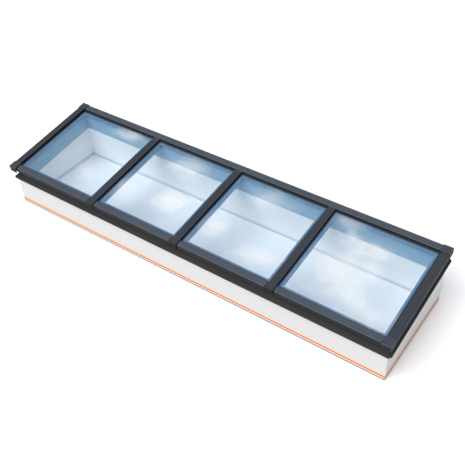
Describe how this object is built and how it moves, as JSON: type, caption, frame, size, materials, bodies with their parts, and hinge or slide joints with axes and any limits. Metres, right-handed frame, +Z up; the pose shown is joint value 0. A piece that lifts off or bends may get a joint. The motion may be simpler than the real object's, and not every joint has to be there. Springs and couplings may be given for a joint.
{
  "type": "roof skylight",
  "caption": "Long mono-pitched roof skylight: linked fixed double-glazed modules with folded dark covers on a white insulated kerb with an orange sealing line.",
  "frame": {"origin": "middle of the footprint, on the roof surface", "axes": "+X along the row of modules, +Y from the low front edge to the high back edge, +Z up"},
  "size_m": [4.18, 1.1174, 0.6113],
  "materials": {
    "kerb_facing": "smooth white coated sheet",
    "insulation": "rigid foam board",
    "kerb_lining": "white painted lining board",
    "head_rail": "timber rail lined in blue-grey",
    "sole_timber": "white primed timber",
    "orange_tape": "matt orange sealing tape",
    "base_gasket": "grey foam rubber",
    "frame_profile": "fibre composite profile, satin",
    "inner_glass": "clear laminated glass",
    "outer_glass": "blue tinted solar control glass",
    "spacer": "blue spacer bar with sealant",
    "black_rubber": "black rubber gasket",
    "plate_aluminium": "mill finish extrusion",
    "cover_sheet": "dark grey powder-coated sheet",
    "fascia": "anthracite powder-coated extrusion",
    "skirt_sheet": "anthracite powder-coated sheet",
    "screw_steel": "zinc plated steel"
  },
  "bodies": {
    "root": {"kerb_facing_front": "kerb_facing", "kerb_facing_back": "kerb_facing", "kerb_facing_left": "kerb_facing", "kerb_facing_right": "kerb_facing", "kerb_insulation": "insulation", "kerb_lining_front": "kerb_lining", "kerb_lining_back": "kerb_lining", "kerb_lining_left": "kerb_lining", "kerb_lining_right": "kerb_lining", "head_rail_front": "head_rail", "head_rail_back": "head_rail", "head_rail_left": "head_rail", "head_rail_right": "head_rail", "sole_plates": "sole_timber", "seal_tapes": "orange_tape", "base_gaskets": "base_gasket", "module_frame_1": "frame_profile", "module_frame_2": "frame_profile", "module_frame_3": "frame_profile", "module_frame_4": "frame_profile", "inner_pane_1": "inner_glass", "inner_pane_2": "inner_glass", "inner_pane_3": "inner_glass", "inner_pane_4": "inner_glass", "spacer_frame_1": "spacer", "spacer_frame_2": "spacer", "spacer_frame_3": "spacer", "spacer_frame_4": "spacer", "outer_pane_1": "outer_glass", "outer_pane_2": "outer_glass", "outer_pane_3": "outer_glass", "outer_pane_4": "outer_glass", "glazing_gaskets": "black_rubber", "joint_seals": "black_rubber", "bar_plates": "plate_aluminium", "edge_plates": "plate_aluminium", "eaves_cover_1": "cover_sheet", "eaves_cover_2": "cover_sheet", "eaves_cover_3": "cover_sheet", "eaves_cover_4": "cover_sheet", "back_cover": "cover_sheet", "verge_cover_left": "cover_sheet", "verge_cover_right": "cover_sheet", "bar_cover_1": "cover_sheet", "bar_cover_2": "cover_sheet", "bar_cover_3": "cover_sheet", "corner_cap_front_left": "cover_sheet", "corner_cap_front_right": "cover_sheet", "corner_cap_back_left": "cover_sheet", "corner_cap_back_right": "cover_sheet", "fascia_front": "fascia", "fascia_back": "fascia", "fascia_left": "fascia", "fascia_right": "fascia", "skirt_front": "skirt_sheet", "skirt_back": "skirt_sheet", "skirt_left": "skirt_sheet", "skirt_right": "skirt_sheet", "plate_screws": "screw_steel", "frame_screws": "screw_steel"}
  },
  "joints": []
}
